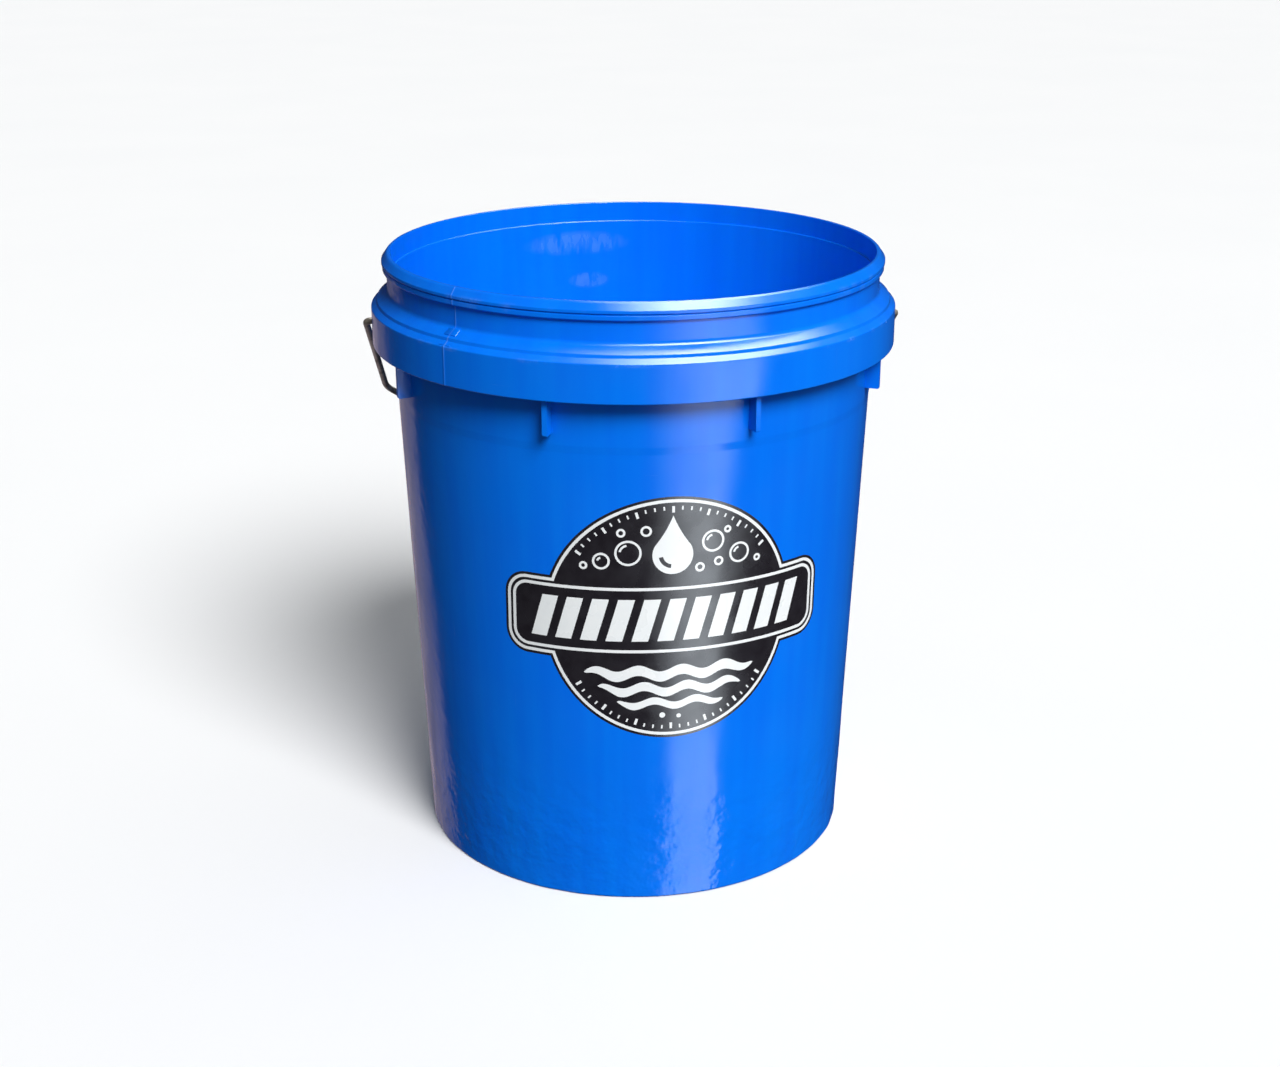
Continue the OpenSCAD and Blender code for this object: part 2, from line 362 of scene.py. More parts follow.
def seam_lines(n, r, along, z):
    """The parting lines, where the plastic is a little paler on the neck and band."""
    lines = []
    for seam in SEAM_AZIMUTHS:
        off = n.math("ABSOLUTE", n.math("SUBTRACT", along, seam * BASE_R))
        lines.append(n.ramp(off, 0.55 * MM, 0.2 * MM))
    high_up = n.ramp(z, BAND_LOW_Z - MM, BAND_LOW_Z)
    outside = n.ramp(r, BEAD_R - 4 * MM, BEAD_R - 3 * MM)
    return n.times(n.most(*lines), high_up, outside, n.ramp(n.noise(70.0, 2.0), 0.3, 0.6, 0.12, 0.5))


def painted_reflection_patches(n, r):
    """Painted reflection: pale streaky patches high on the inside of the back, standing in for light
    reflected there.
    """
    x, y, z = n.split(n.place)
    spots = []
    for mid_x, mid_z, half_x, half_z in PAINTED_REFLECTION_SPOTS:
        off_x = n.math("DIVIDE", n.math("SUBTRACT", x, mid_x), half_x)
        off_z = n.math("DIVIDE", n.math("SUBTRACT", z, mid_z), half_z)
        far = n.math("ADD", n.times(off_x, off_x), n.times(off_z, off_z))
        spots.append(n.ramp(far, 1.0, 0.1))
    inner_r = n.math("MULTIPLY_ADD", z, TAPER, BASE_R - WALL_T / 2)
    inside = n.times(n.math("LESS_THAN", r, inner_r), n.math("GREATER_THAN", y, 0.0))
    runs = n.noise(1.0, 4.0, n.join(n.times(x, 190.0), n.times(z, 50.0), 0.0))
    return n.times(n.most(*spots), inside, n.ramp(runs, 0.32, 0.62), 0.4)


def dimples(n, r, along, z):
    """Height of the shallow dimples low on the outside and, fainter, up the left side."""
    outside = n.ramp(r, BASE_R - 10 * MM, BASE_R - MM, 0.12, 1.0)
    low_down = n.times(n.ramp(z, RIPPLE_TOP_Z, 0.2 * RIPPLE_TOP_Z), outside)
    left_side = n.times(n.ramp(along, -100 * MM, -160 * MM), 0.4)
    return n.times(n.noise(115.0, 2.0), n.most(low_down, left_side))


def pail_material():
    """Glossy moulded polyethylene: faint flow streaks, scuffs, pale worn edges, a painted reflection high
    inside the back, dimples and a fine grain.
    """
    n = Nodes(bpy.data.materials.new("pail_blue"))
    r, along, z = n.round_pail()
    streaks = n.noise(1.0, 3.0, n.join(n.times(along, 110.0), r, n.times(z, 5.0)))
    tone = n.math("ADD", n.times(n.noise(7.0, 3.0), 0.6), n.times(streaks, 0.4))
    colour = n.mix(n.ramp(tone, 0.35, 0.65), PAIL_DEEP, PAIL_BLUE)
    scuffed = scuffs(n, r, along, z)
    # the scuffs and rubbed edges are wear; the patches inside the back are a painted reflection
    wear_and_painted_reflection = n.most(n.times(scuffed, 0.3), rubbed_edges(n, r, z), painted_reflection_patches(n, r))
    pale = n.most(wear_and_painted_reflection, seam_lines(n, r, along, z))
    n.feed(n.shader.inputs["Base Color"], n.mix(pale, colour, PALE_WEAR_AND_REFLECTION_BLUE))
    gloss = n.ramp(n.noise(26.0, 4.0), 0.3, 0.75, 0.13, 0.23)
    n.feed(n.shader.inputs["Roughness"], n.math("ADD", gloss, n.times(wear_and_painted_reflection, 0.4), clamp=True))
    relief = n.bump(n.noise(1300.0, 2.0), 0.02 * MM, 0.5)
    relief = n.bump(n.noise(95.0, 3.0), 0.06 * MM, 0.5, relief)
    relief = n.bump(dimples(n, r, along, z), 0.65 * MM, 1.0, relief)
    relief = n.bump(n.math("SUBTRACT", 1.0, scuffed), 0.03 * MM, 0.6, relief)
    n.feed(n.shader.inputs["Normal"], relief)
    n.shader.inputs["Specular IOR Level"].default_value = 0.42
    n.shader.inputs["Subsurface Weight"].default_value = 0.04
    n.shader.inputs["Subsurface Scale"].default_value = 0.004
    n.shader.inputs["Subsurface Radius"].default_value = (0.3, 0.6, 1.0)
    return n.owner


def print_material(name, ink, worn_ink):
    """Glossy screen-printed ink: even in colour, with fine rub marks and a faint screen texture."""
    n = Nodes(bpy.data.materials.new(name))
    r, along, z = n.round_pail()
    rubs = n.noise(1.0, 6.0, n.join(n.times(along, 40.0), r, n.times(z, 700.0)), 0.6)
    rubbed = n.times(n.ramp(rubs, 0.64, 0.76), n.ramp(n.noise(22.0, 3.0), 0.45, 0.7))
    mottle = n.ramp(n.noise(140.0, 3.0), 0.3, 0.7, 0.0, 0.15)
    n.feed(n.shader.inputs["Base Color"], n.mix(n.most(mottle, n.times(rubbed, 0.6)), ink, worn_ink))
    n.feed(n.shader.inputs["Roughness"], n.ramp(n.noise(60.0, 4.0), 0.3, 0.7, 0.2, 0.32))
    n.feed(n.shader.inputs["Normal"], n.bump(n.noise(1800.0, 1.0), 0.01 * MM, 0.4))
    n.shader.inputs["Specular IOR Level"].default_value = 0.9
    return n.owner


def wire_material():
    """Zinc-plated drawn wire: dull brownish grey with bright specks and darker stains."""
    n = Nodes(bpy.data.materials.new("zinc_wire"))
    stain = n.ramp(n.noise(90.0, 5.0, roughness=0.6), 0.42, 0.7)
    colour = n.mix(stain, rgba(0.55, 0.50, 0.42), rgba(0.23, 0.18, 0.13))
    bright = n.ramp(n.noise(420.0, 3.0), 0.55, 0.8, 0.0, 0.5)
    n.feed(n.shader.inputs["Base Color"], n.mix(bright, colour, rgba(0.72, 0.69, 0.62)))
    n.shader.inputs["Metallic"].default_value = 0.55
    n.feed(n.shader.inputs["Roughness"], n.ramp(n.noise(150.0, 4.0), 0.3, 0.7, 0.28, 0.5))
    n.feed(n.shader.inputs["Normal"], n.bump(n.noise(2200.0, 3.0), 0.02 * MM, 0.5))
    return n.owner


def grip_material():
    """Black moulded plastic with a spark-eroded texture, greyed where a hand rubs it."""
    n = Nodes(bpy.data.materials.new("grip_black"))
    handled = n.ramp(n.noise(70.0, 4.0, roughness=0.6), 0.4, 0.75)
    colour = n.mix(handled, rgba(0.016, 0.016, 0.018), rgba(0.045, 0.045, 0.05))
    n.feed(n.shader.inputs["Base Color"], colour)
    n.feed(n.shader.inputs["Roughness"], n.ramp(handled, 0.0, 1.0, 0.52, 0.38))
    n.feed(n.shader.inputs["Normal"], n.bump(n.noise(2600.0, 2.0), 0.05 * MM, 0.7))
    n.shader.inputs["Specular IOR Level"].default_value = 0.4
    return n.owner


BLUE = pail_material()
INK_BLACK = print_material("ink_black", rgba(0.012, 0.010, 0.014), rgba(0.05, 0.05, 0.06))
INK_WHITE = print_material("ink_white", rgba(0.88, 0.91, 0.92), rgba(0.7, 0.76, 0.82))
ZINC = wire_material()
BLACK = grip_material()

# ---------------------------------------------------------------- pail


def pail_outline():
    """Half section of the pail as (r, z, fillet), from the middle of its floor inside, up the inside,
    over the rim, down the outside with the collar, and back under the floor."""
    top = PAIL_TOP
    seat_r = BEAD_R - 5.2 * MM
    ledge_z = top - 12.2 * MM
    lip_r = BEAD_R - 0.5 * MM
    pocket_r = BAND_R - 2.4 * MM

    def bore(z):
        return taper_r(z) - WALL_T

    inside = [
        (0, FLOOR_Z - 0.5 * MM, 0),
        (5 * MM, FLOOR_Z - 0.5 * MM, 0.6 * MM),
        (7 * MM, FLOOR_Z + 0.1 * MM, 0.6 * MM),
        (86 * MM, FLOOR_Z + 0.1 * MM, 0.4 * MM),
        (88 * MM, FLOOR_Z - 0.25 * MM, 0.4 * MM),
        (bore(FLOOR_Z), FLOOR_Z, 8.5 * MM),
        (bore(ledge_z), ledge_z, 0.35 * MM),
        (seat_r, ledge_z, 0.25 * MM),
        (seat_r, top, 0.5 * MM),
    ]
    outside = [
        (seat_r + 1.7 * MM, top, 0.6 * MM),
        (NECK_R + 0.2 * MM, top - 0.8 * MM, 0.5 * MM),
        (BEAD_R, top - 4.4 * MM, 0.8 * MM),
        (BEAD_R, top - 6.0 * MM, 0.35 * MM),
        (lip_r - 0.75 * MM, top - 6.6 * MM, 0.2 * MM),
        (lip_r, top - 7.3 * MM, 0.35 * MM),
        (lip_r, top - 9.5 * MM, 0.6 * MM),
        (lip_r - 0.5 * MM, top - 10 * MM, 0.3 * MM),
        (NECK_R, top - 10 * MM, 0.6 * MM),
        (NECK_R, NECK_Z + SHOULDER_RISE, 3.2 * MM),
        (SHOULDER_R, SHOULDER_Z, 0.5 * MM),
        (SHOULDER_R + 0.4 * MM, NECK_Z - 4.9 * MM, 0.7 * MM),
        (BAND_R - 1.3 * MM, NECK_Z - 6.4 * MM, 0.5 * MM),
        (BAND_R, NECK_Z - 7.5 * MM, 1.0 * MM),
        (BAND_R, BAND_LOW_Z, 0.7 * MM),
        (pocket_r, BAND_LOW_Z, 0.5 * MM),
        (pocket_r, BAND_JOIN_Z, 1.2 * MM),
        (SHOULDER_R - 2.2 * MM, NECK_Z - 6.2 * MM, 1.5 * MM),
        (step_wall_r(NECK_Z), NECK_Z - 4.2 * MM, 1.2 * MM),
        (step_wall_r(STEP_Z + MM), STEP_Z + 2.2 * MM, 2 * MM),
        (step_wall_r(STEP_Z), STEP_Z - 2.2 * MM, 2 * MM),
        (BASE_R, 0, 1.5 * MM),
        (BASE_R - 3 * MM, 0, 0.6 * MM),
        (BASE_R - 3 * MM, FLOOR_LOW_Z, 1.2 * MM),
        (62 * MM, FLOOR_LOW_Z, 0.4 * MM),
        (60 * MM, FLOOR_LOW_Z - 0.7 * MM, 0.4 * MM),
        (57 * MM, FLOOR_LOW_Z - 0.7 * MM, 0.4 * MM),
        (55 * MM, FLOOR_LOW_Z, 0.4 * MM),
        (4 * MM, FLOOR_LOW_Z, 0.5 * MM),
        (3.2 * MM, FLOOR_LOW_Z - 1.6 * MM, 0.4 * MM),
        (0, FLOOR_LOW_Z - 1.6 * MM, 0),
    ]
    return inside + outside


def columns_round():
    """Azimuths of the pail's columns: even steps, with close ones on both parting lines."""
    step = 2 * math.pi / COLUMNS
    out = [i * step for i in range(COLUMNS)]
    for seam in SEAM_AZIMUTHS:
        out += [seam + k * SEAM_HALF / BASE_R for k in SEAM_COLUMNS]
    out = sorted(a % (2 * math.pi) for a in out)
    return [a for i, a in enumerate(out) if a - out[i - 1] > SAME_AZIMUTH or i == 0]


def seam_rise(azimuth):
    """Height of the raised parting line at an azimuth."""
    for seam in SEAM_AZIMUTHS:
        off = abs((azimuth - seam + math.pi) % (2 * math.pi) - math.pi) * BASE_R
        if off < 0.5 * SEAM_HALF:
            return SEAM_HEIGHT
    return 0.0


def pail_radius(p, azimuth):
    """Radius of an outer outline point p at an azimuth: the band and the neck have parting lines, and the
    wall its unevenness."""
    r = p.x
    if r > BAND_R - 1.5 * MM or p.y > NECK_Z:
        r += seam_rise(azimuth)
    if p.y < BAND_LOW_Z and p.x < BAND_R - 4 * MM:
        r += unevenness(azimuth, p.y)
    return r


def make_pail():
    """The moulded pail as one closed mesh, before the bail's holes are cut."""
    outline = divided(rounded(pail_outline()), ROW_HEIGHT)
    top_i = max(range(len(outline)), key=lambda i: outline[i].y)
    foot_i = min(range(len(outline)), key=lambda i: outline[i].y)
    azimuths = columns_round()
    bm = bmesh.new()
    rings = []
    for i, p in enumerate(outline[1:-1], start=1):
        outer = top_i < i < foot_i
        radii = [pail_radius(p, a) if outer else p.x for a in azimuths]
        rings.append([bm.verts.new(polar(r, a, p.y)) for r, a in zip(radii, azimuths)])
    skin(bm, rings)
    for i in (0, -1):
        fan(bm, rings[i], bm.verts.new((0, 0, outline[i].y)))
    return new_object("pail_shell", bm, BLUE, "bucket")


def sweep(bm, points, radii, sides):
    """Adds a round tube along a line of points, with closed ends."""
    rings = []
    across = None
    for i, p in enumerate(points):
        along = (points[min(i + 1, len(points) - 1)] - points[max(i - 1, 0)]).normalized()
        if across is None:
            across = along.orthogonal().normalized()
        across = (across - along * across.dot(along)).normalized()
        other = along.cross(across)
        turns = [2 * math.pi * k / sides for k in range(sides)]
        spokes = [radii[i] * (math.cos(a) * across + math.sin(a) * other) for a in turns]
        rings.append([bm.verts.new(p + spoke) for spoke in spokes])
    skin(bm, rings)
    for i in (0, -1):
        fan(bm, rings[i], bm.verts.new(points[i]))


def lathe_x(bm, outline, centre, columns, shape=None):
    """Adds a closed outline of (x, radius) turned about the X direction through a centre. shape(x, radius,
    angle) may change the radius."""
    rings = []
    for p in outline:
        ring = []
        for k in range(columns):
            a = 2 * math.pi * k / columns
            r = shape(p.x, p.y, a) if shape else p.y
            ring.append(bm.verts.new(centre + Vector((p.x, r * math.cos(a), r * math.sin(a)))))
        rings.append(ring)
    skin(bm, rings + rings[:1])


def closed_rounded(corners):
    """rounded() for a closed outline."""
    out = []
    for before, here, after in zip([corners[-1], *corners], corners, [*corners[1:], corners[0]]):
        out += rounded([before, here, after])[1:-1]
    return out


EAR_HOLE_R = 2.25 * MM
EAR_FACE_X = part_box("bail_ear_right")[0].x
EAR_BOSS_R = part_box("bail_ear_right")[1].y
DRILL_SIDES = 32
EAR_COLUMNS = 64


def cut_ear_holes(pail):
    """Drills the bail's two holes through the collar's band."""
    bm = bmesh.new()
    for side in (-1, 1):
        ends = [Vector((side * x, 0, PIVOT.z)) for x in (EAR_FACE_X - MM, BAND_R + 2 * MM)]
        sweep(bm, ends, [EAR_HOLE_R] * 2, DRILL_SIDES)
    drill = new_object("drill", bm, BLUE, "bucket")
    cut = pail.modifiers.new("ears", "BOOLEAN")
    cut.object = drill
    cut.solver = "EXACT"
    apply_modifiers(pail)
    bpy.data.objects.remove(drill)
    bm = bmesh.new()
    bm.from_mesh(pail.data)
    sound_faces(bm, 4)
    bm.to_mesh(pail.data)
    bm.free()


RIB_COUNT = 8
RIB_T = 2.8 * MM
RIB_R = 151.5 * MM
RIB_ROOT = 0.7 * MM
RIB_EDGE = 0.4 * MM


def make_ribs():
    """Upright stiffening plates between the wall and the collar, rooted in both."""
    low_in = taper_r(RIB_LOW_Z) + STEP_T - RIB_ROOT
    high_in = taper_r(NECK_Z) + STEP_T - RIB_ROOT
    profile = rounded([
        (low_in, RIB_LOW_Z, 0),
        (RIB_R - 0.1 * MM, RIB_LOW_Z, 1.0 * MM),
        (RIB_R, BAND_LOW_Z + MM, 0.3 * MM),
        (BAND_R - 1.8 * MM, BAND_LOW_Z + 1.4 * MM, 0),
        (BAND_R - 1.8 * MM, NECK_Z - 8.6 * MM, 0),
        (BAND_R - 5 * MM, NECK_Z - 5.4 * MM, 0),
        (high_in, NECK_Z - 3.4 * MM, 0),
    ], 5)
    bm = bmesh.new()
    for i in range(RIB_COUNT):
        azimuth = 2 * math.pi * (i + 0.5) / RIB_COUNT
        plate = bmesh.new()
        sides = [[plate.verts.new((p.x, side * RIB_T / 2, p.y)) for p in profile] for side in (-1, 1)]
        plate.faces.new(sides[0])
        plate.faces.new(list(reversed(sides[1])))
        skin(plate, [sides[1], sides[0]])
        rims = [e for e in plate.edges if abs(e.verts[0].co.y - e.verts[1].co.y) < TINY]
        bmesh.ops.bevel(plate, geom=rims, offset=RIB_EDGE, segments=3, affect="EDGES", clamp_overlap=True)
        plate.transform(Matrix.Rotation(azimuth - math.pi / 2, 4, "Z"))
        mesh = bpy.data.meshes.new("plate")
        plate.to_mesh(mesh)
        plate.free()
        bm.from_mesh(mesh)
        bpy.data.meshes.remove(mesh)
    ribs = new_object("stiffening_ribs", bm, BLUE, "bucket")
    ribs.data.set_sharp_from_angle(angle=math.radians(50))
    weigh_normals(ribs)
    return ribs


def make_ears():
    """Round bosses behind the band, which the bail's ends turn in."""
    bm = bmesh.new()
    back = BAND_R - EAR_FACE_X - 1.6 * MM
    outline = closed_rounded([
        (0, EAR_HOLE_R, 0.4 * MM),
        (0, EAR_BOSS_R, 0.6 * MM),
        (back, EAR_BOSS_R + 0.2 * MM, 0),
        (back, EAR_HOLE_R, 0),
    ])
    for side in (-1, 1):
        turned = [Vector((side * p.x, p.y)) for p in outline]
        lathe_x(bm, turned, Vector((side * EAR_FACE_X, 0, PIVOT.z)), EAR_COLUMNS)
    return new_object("ear_bosses", bm, BLUE, "bucket")


# ---------------------------------------------------------------- small raised marks of the mould

PATCH_SLOPE = 0.35 * MM


def raised_patch(bm, surface, width, length, height, root, corner):
    """Adds a thin closed plate lying on a surface: surface(across, along, proud) gives a point. Its
    outer corners are rounded and its edge slopes down to the surface."""
    outline = closed_rounded([(-width / 2, 0, corner), (width / 2, 0, corner),
                              (width / 2, length, corner / 2), (-width / 2, length, corner / 2)])
    centre = Vector((0, length / 2))
    loops = []
    for inset, proud in ((0, -root), (0, 0.4 * height), (PATCH_SLOPE, height)):
        loop = []
        for p in outline:
            inward = (centre - p).normalized() * inset
            loop.append(bm.verts.new(surface(p.x + inward.x, p.y + inward.y, proud)))
        loops.append(loop)
    skin(bm, loops)
    bm.faces.new(loops[-1])
    bm.faces.new(list(reversed(loops[0])))


def make_marks():
    """Lugs and witness marks where the two mould halves meet: a lug on the shoulder, a pip on the bead and
    a thickening of the band's edge."""
    bm = bmesh.new()
    fall = NECK_Z + SHOULDER_RISE - SHOULDER_Z
    widening = SHOULDER_R - NECK_R
    slope = math.hypot(widening, fall)
    band_edge_w = 1.9 * MM

    for seam in SEAM_AZIMUTHS:
        def on_shoulder(across, along, proud, seam=seam):
            t = (along + 0.6 * MM) / slope
            r = NECK_R + t * widening + proud * fall / slope
            z = NECK_Z + SHOULDER_RISE - t * fall + proud * widening / slope
            return polar(r, seam + across / r, z)

        def on_bead(across, along, proud, seam=seam):
            return polar(BEAD_R - 0.15 * MM + proud, seam + across / BEAD_R, PAIL_TOP - 5.6 * MM + along)

        def on_band(across, along, proud, seam=seam):
            t = along / band_edge_w
            r = BAND_R - 1.3 * MM + t * MM + 0.7 * proud
            return polar(r, seam + across / BAND_R, NECK_Z - 6.5 * MM - t * 0.8 * MM + 0.7 * proud)

        raised_patch(bm, on_shoulder, width=9.0 * MM, length=5.4 * MM, height=0.45 * MM,
                     root=0.5 * MM, corner=1.2 * MM)
        raised_patch(bm, on_bead, width=2.6 * MM, length=1.6 * MM, height=0.14 * MM,
                     root=0.4 * MM, corner=0.3 * MM)
        raised_patch(bm, on_band, width=9.0 * MM, length=1.3 * MM, height=0.2 * MM,
                     root=0.4 * MM, corner=0.3 * MM)
    marks = new_object("parting_marks", bm, BLUE, "bucket")
    marks.data.set_sharp_from_angle(angle=math.radians(40))
    return marks


# ---------------------------------------------------------------- bail and grip

WIRE_R = 2.0 * MM
WIRE_SIDES = 24
# the wire's rounded ends: (distance from the tip, radius) as shares of WIRE_R
WIRE_TIP = ((0.0, 0.45), (0.12, 0.7), (0.3, 0.88), (0.55, 1.0))
HOOK_R = 3.5 * MM
HOOK_LEN = 8.0 * MM
BEND_GAP = 0.3 * MM
LEG_LEAN = math.radians(2.3)
KNEE_R = 35.0 * MM
KNEE_LEAN = math.radians(25)
GRIP_RUN = 100.0 * MM


def arc_step(r, start, end):
    """How far a bend of radius r goes in (u, t) as its heading turns from start to end."""
    return Vector((r * (math.sin(end) - math.sin(start)), r * (math.cos(start) - math.cos(end))))


def half_bail():
    """Centre line of half the bail in its own plane, as (u, t) from the hooked end to the grip's middle."""
    quarter = math.pi / 2
    hook_in = EAR_FACE_X - BEND_GAP
    hook_out = BAND_R + BEND_GAP
    leg_from = Vector((hook_out + HOOK_R * math.cos(LEG_LEAN), HOOK_R + HOOK_R * math.sin(LEG_LEAN)))
    knee = arc_step(KNEE_R, quarter + LEG_LEAN, quarter + KNEE_LEAN)
    crown = arc_step(1.0, quarter + KNEE_LEAN, math.pi)
    gap = Vector((GRIP_RUN / 2, BAIL_REACH)) - leg_from - knee
    leg = Vector((-math.sin(LEG_LEAN), math.cos(LEG_LEAN)))
    cross = leg.x * crown.y - leg.y * crown.x
    leg_len = (gap.x * crown.y - gap.y * crown.x) / cross
    crown_r = (leg.x * gap.y - leg.y * gap.x) / cross

    line = [Vector((hook_in - HOOK_R, HOOK_LEN))]

    def straight(step, longest=6 * MM):
        start = line[-1]
        count = max(1, math.ceil(step.length / longest))
        line.extend(start + step * k / count for k in range(1, count + 1))

    def bend(r, start, end):
        base = line[-1]
        count = max(3, math.ceil(abs(end - start) / math.radians(5)))
        headings = [start + (end - start) * k / count for k in range(1, count + 1)]
        line.extend(base + arc_step(r, start, heading) for heading in headings)

    straight(Vector((0, HOOK_R - HOOK_LEN)))
    bend(HOOK_R, -quarter, 0)
    straight(Vector((hook_out - hook_in, 0)))
    bend(HOOK_R, 0, quarter + LEG_LEAN)
    straight(leg * leg_len)
    bend(KNEE_R, quarter + LEG_LEAN, quarter + KNEE_LEAN)
    bend(crown_r, quarter + KNEE_LEAN, math.pi)
    straight(Vector((-GRIP_RUN / 2, 0)))
    return line


def make_bail():
    """The bent wire, with rounded ends inside the ears."""
    half = half_bail()
    whole = half + [Vector((-p.x, p.y)) for p in reversed(half[:-1])]
    points = [PIVOT + Vector((p.x, 0, 0)) + BAIL_DIR * p.y for p in whole]
    first, last = (points[1] - points[0]).normalized(), (points[-2] - points[-1]).normalized()
    start = [points[0] + first * WIRE_R * far for far, _ in WIRE_TIP]
    end = [points[-1] + last * WIRE_R * far for far, _ in reversed(WIRE_TIP)]
    radii = [WIRE_R * share for _, share in WIRE_TIP]
    line = start + points[1:-1] + end
    bm = bmesh.new()
    sweep(bm, line, radii + [WIRE_R] * (len(points) - 2) + list(reversed(radii)), WIRE_SIDES)
    bail = new_object("bail_rod", bm, ZINC, "bail")
    bail.data.set_sharp_from_angle(angle=math.radians(50))
    return bail


GRIP_R = 13.0 * MM
GRIP_MID_R = 11.8 * MM
GRIP_LEN = 92.0 * MM
GRIP_END = 7.0 * MM
GRIP_BORE_R = 2.25 * MM
FLUTES = 18
FLUTE_DEPTH = 0.7 * MM
GRIP_COLUMNS = FLUTES * 8
GRIP_ROW = 3 * MM
MOULD_LINE = 0.15 * MM
MOULD_LINE_SINE = 0.04


def make_grip():
    """Black moulded roller: collars at its ends, shallow flutes between them and two mould lines."""
    half = GRIP_LEN / 2
    inner = half - GRIP_END
    right = [
        (half - 0.6 * MM, GRIP_BORE_R, 0),
        (half - 0.6 * MM, GRIP_BORE_R + 1.4 * MM, 0.3 * MM),
        (half, GRIP_BORE_R + 2.2 * MM, 0.4 * MM),
        (half, GRIP_R, 2.0 * MM),
        (inner + 0.4 * MM, GRIP_R, 0.8 * MM),
        (inner - 0.8 * MM, GRIP_MID_R, 0.8 * MM),
    ]
    corners = right + [(-x, y, f) for x, y, f in reversed(right)]
    outline = divided(closed_rounded(corners) + [Vector(corners[0][:2])], GRIP_ROW)[:-1]

    def shape(x, r, a):
        if r < GRIP_BORE_R + 0.5 * MM:
            return r
        if abs(math.sin(a)) < MOULD_LINE_SINE and GRIP_MID_R - MM < r <= GRIP_R - 0.2 * MM:
            r += MOULD_LINE
        if r >= GRIP_MID_R + 0.2 * MM:
            return r
        reach = 1 - smooth_step(abs(x), inner - 9 * MM, inner - 4 * MM)
        groove = 0.5 + 0.5 * math.cos(FLUTES * a)
        return r - FLUTE_DEPTH * reach * groove ** 2

    bm = bmesh.new()
    lathe_x(bm, outline, GRIP_AT, GRIP_COLUMNS, shape)
    grip = new_object("hand_grip", bm, BLACK, "grip")
    grip.data.set_sharp_from_angle(angle=math.radians(60))
    return grip


# ---------------------------------------------------------------- label

LABEL_AZIMUTH = math.radians(4.9)
LABEL_Z = (LABEL_LOW.z + LABEL_HIGH.z) / 2
LABEL_R = (LABEL_HIGH.z - LABEL_LOW.z) / 2
BANNER_HALF_W = 98.0 * MM
BANNER_HALF_H = 25.0 * MM
BANNER_CORNER = 14.0 * MM
LABEL_STRIP = 3.0 * MM
LABEL_ROW = 14.0 * MM
ARC_STEPS = 10
RING_STEPS = 60
DISC_STEPS = 40
DROP_STEPS = 9
WAVE_STEPS = 72


def arc(cx, cy, r, start, end, steps):
    """Points on an arc, angles in degrees."""
    turns = [math.radians(start + (end - start) * k / steps) for k in range(steps + 1)]
    return [(cx + r * math.cos(a), cy + r * math.sin(a)) for a in turns]


def disc(cx, cy, r):
    """Points round a circle."""
    return arc(cx, cy, r, 0, 360, DISC_STEPS)[:-1]


def plate_outline(half_w, half_h, corner):
    """Rounded rectangle about the label's middle."""
    out = []
    for sx, sy, start in ((1, 1, 0), (-1, 1, 90), (-1, -1, 180), (1, -1, 270)):
        out += arc(sx * (half_w - corner), sy * (half_h - corner), corner, start, start + 90, ARC_STEPS)
    return out


def badge_outline(inset):
    """The roundel and the banner across it as one outline, moved inwards by an inset."""
    r, half_w, half_h, corner = (v - inset for v in (LABEL_R, BANNER_HALF_W, BANNER_HALF_H, BANNER_CORNER))
    meet = math.degrees(math.asin(half_h / r))
    out = arc(0, 0, r, meet, 180 - meet, RING_STEPS)
    for sy, start in ((1, 90), (-1, 180)):
        out += arc(-(half_w - corner), sy * (half_h - corner), corner, start, start + 90, ARC_STEPS)
    out += arc(0, 0, r, 180 + meet, 360 - meet, RING_STEPS)
    for sy, start in ((-1, 270), (1, 0)):
        out += arc(half_w - corner, sy * (half_h - corner), corner, start, start + 90, ARC_STEPS)
    return out


def drop_outline(cx, cy, r, tip):
    """A water drop: a circle about (cx, cy) with a point at height tip above its middle."""
    lean = math.degrees(math.asin(r / tip))
    out = arc(cx, cy, r, 180 - lean, 360 + lean, DISC_STEPS)
    left, right = Vector(out[0]), Vector(out[-1])
    point = Vector((cx, cy + tip))
    pull = Vector((cx, cy + 0.52 * tip))
    for a, b, last in ((right, point, DROP_STEPS), (point, left, DROP_STEPS - 1)):
        middle = ((a + b) / 2).lerp(pull, 0.28)
        for k in range(1, last + 1):
            t = k / DROP_STEPS
            q = (1 - t) ** 2 * a + 2 * t * (1 - t) * middle + t * t * b
            out.append((q.x, q.y))
    return out


def wave_outline(cy, half_w, thick, height, count, shift):
    """A wavy band with pointed ends."""
    top, low = [], []
    for k in range(WAVE_STEPS + 1):
        t = k / WAVE_STEPS
        x = -half_w + 2 * half_w * t
        y = cy + height * math.sin(2 * math.pi * count * t + shift)
        body = thick / 2 * min(1.0, 7 * t, 7 * (1 - t)) ** 0.5
        top.append((x, y + body))
        low.append((x, y - body))
    return top[:-1] + list(reversed(low))[:-1]


